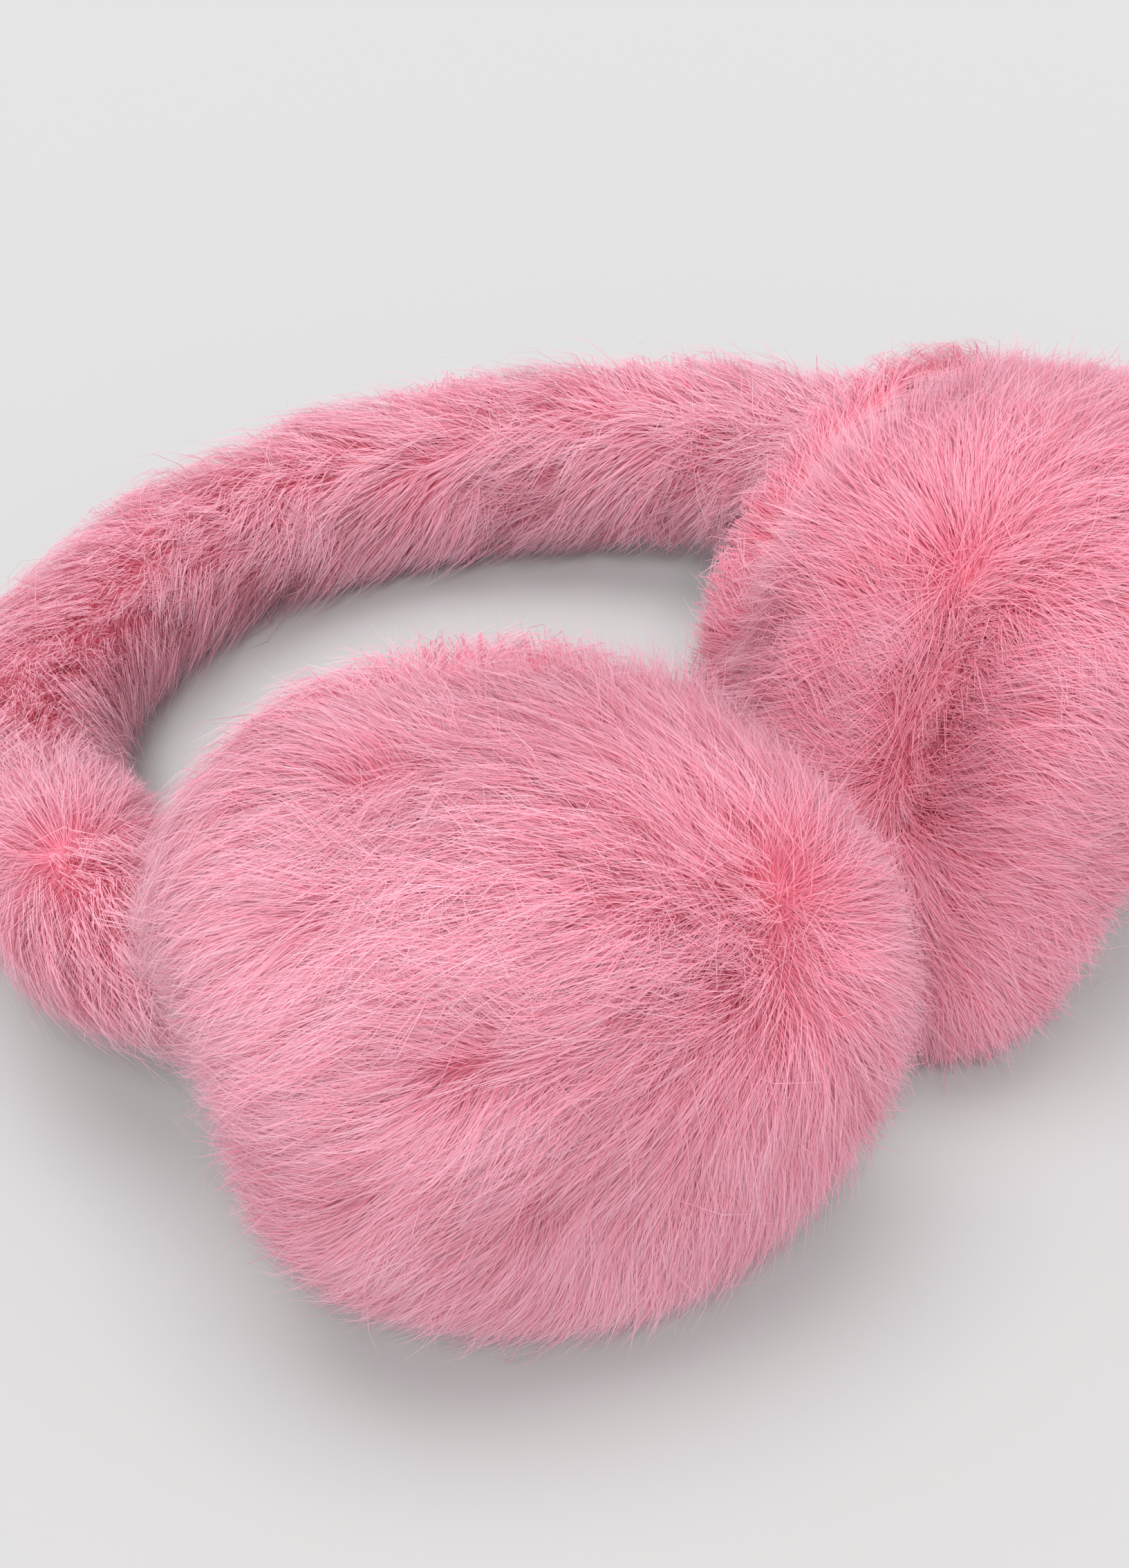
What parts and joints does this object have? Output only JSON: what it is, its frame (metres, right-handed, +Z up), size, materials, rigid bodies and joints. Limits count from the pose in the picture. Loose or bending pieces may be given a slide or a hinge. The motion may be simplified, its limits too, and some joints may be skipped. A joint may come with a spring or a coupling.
{
  "type": "fur earmuffs",
  "caption": "Faux-fur earmuffs: an oval fur head band with a deep domed fur pad and a cloth ear lining at each end, shown lying as put down.",
  "frame": {"origin": "middle of the whole object's footprint, on the surface it lies on", "axes": "+Z up from the surface, +Y towards the band's closed end (the top of the head), +X towards the wearer's right pad"},
  "size_m": [0.2336, 0.2234, 0.1054],
  "materials": {
    "band_fur": "short, clumped faux fur",
    "pad_fur": "long, soft faux fur",
    "lining": "brushed knit cloth"
  },
  "bodies": {
    "root": {"headband": "band_fur", "ear_pad_left": "pad_fur", "ear_pad_right": "pad_fur", "ear_lining_left": "lining", "ear_lining_right": "lining"}
  },
  "joints": []
}
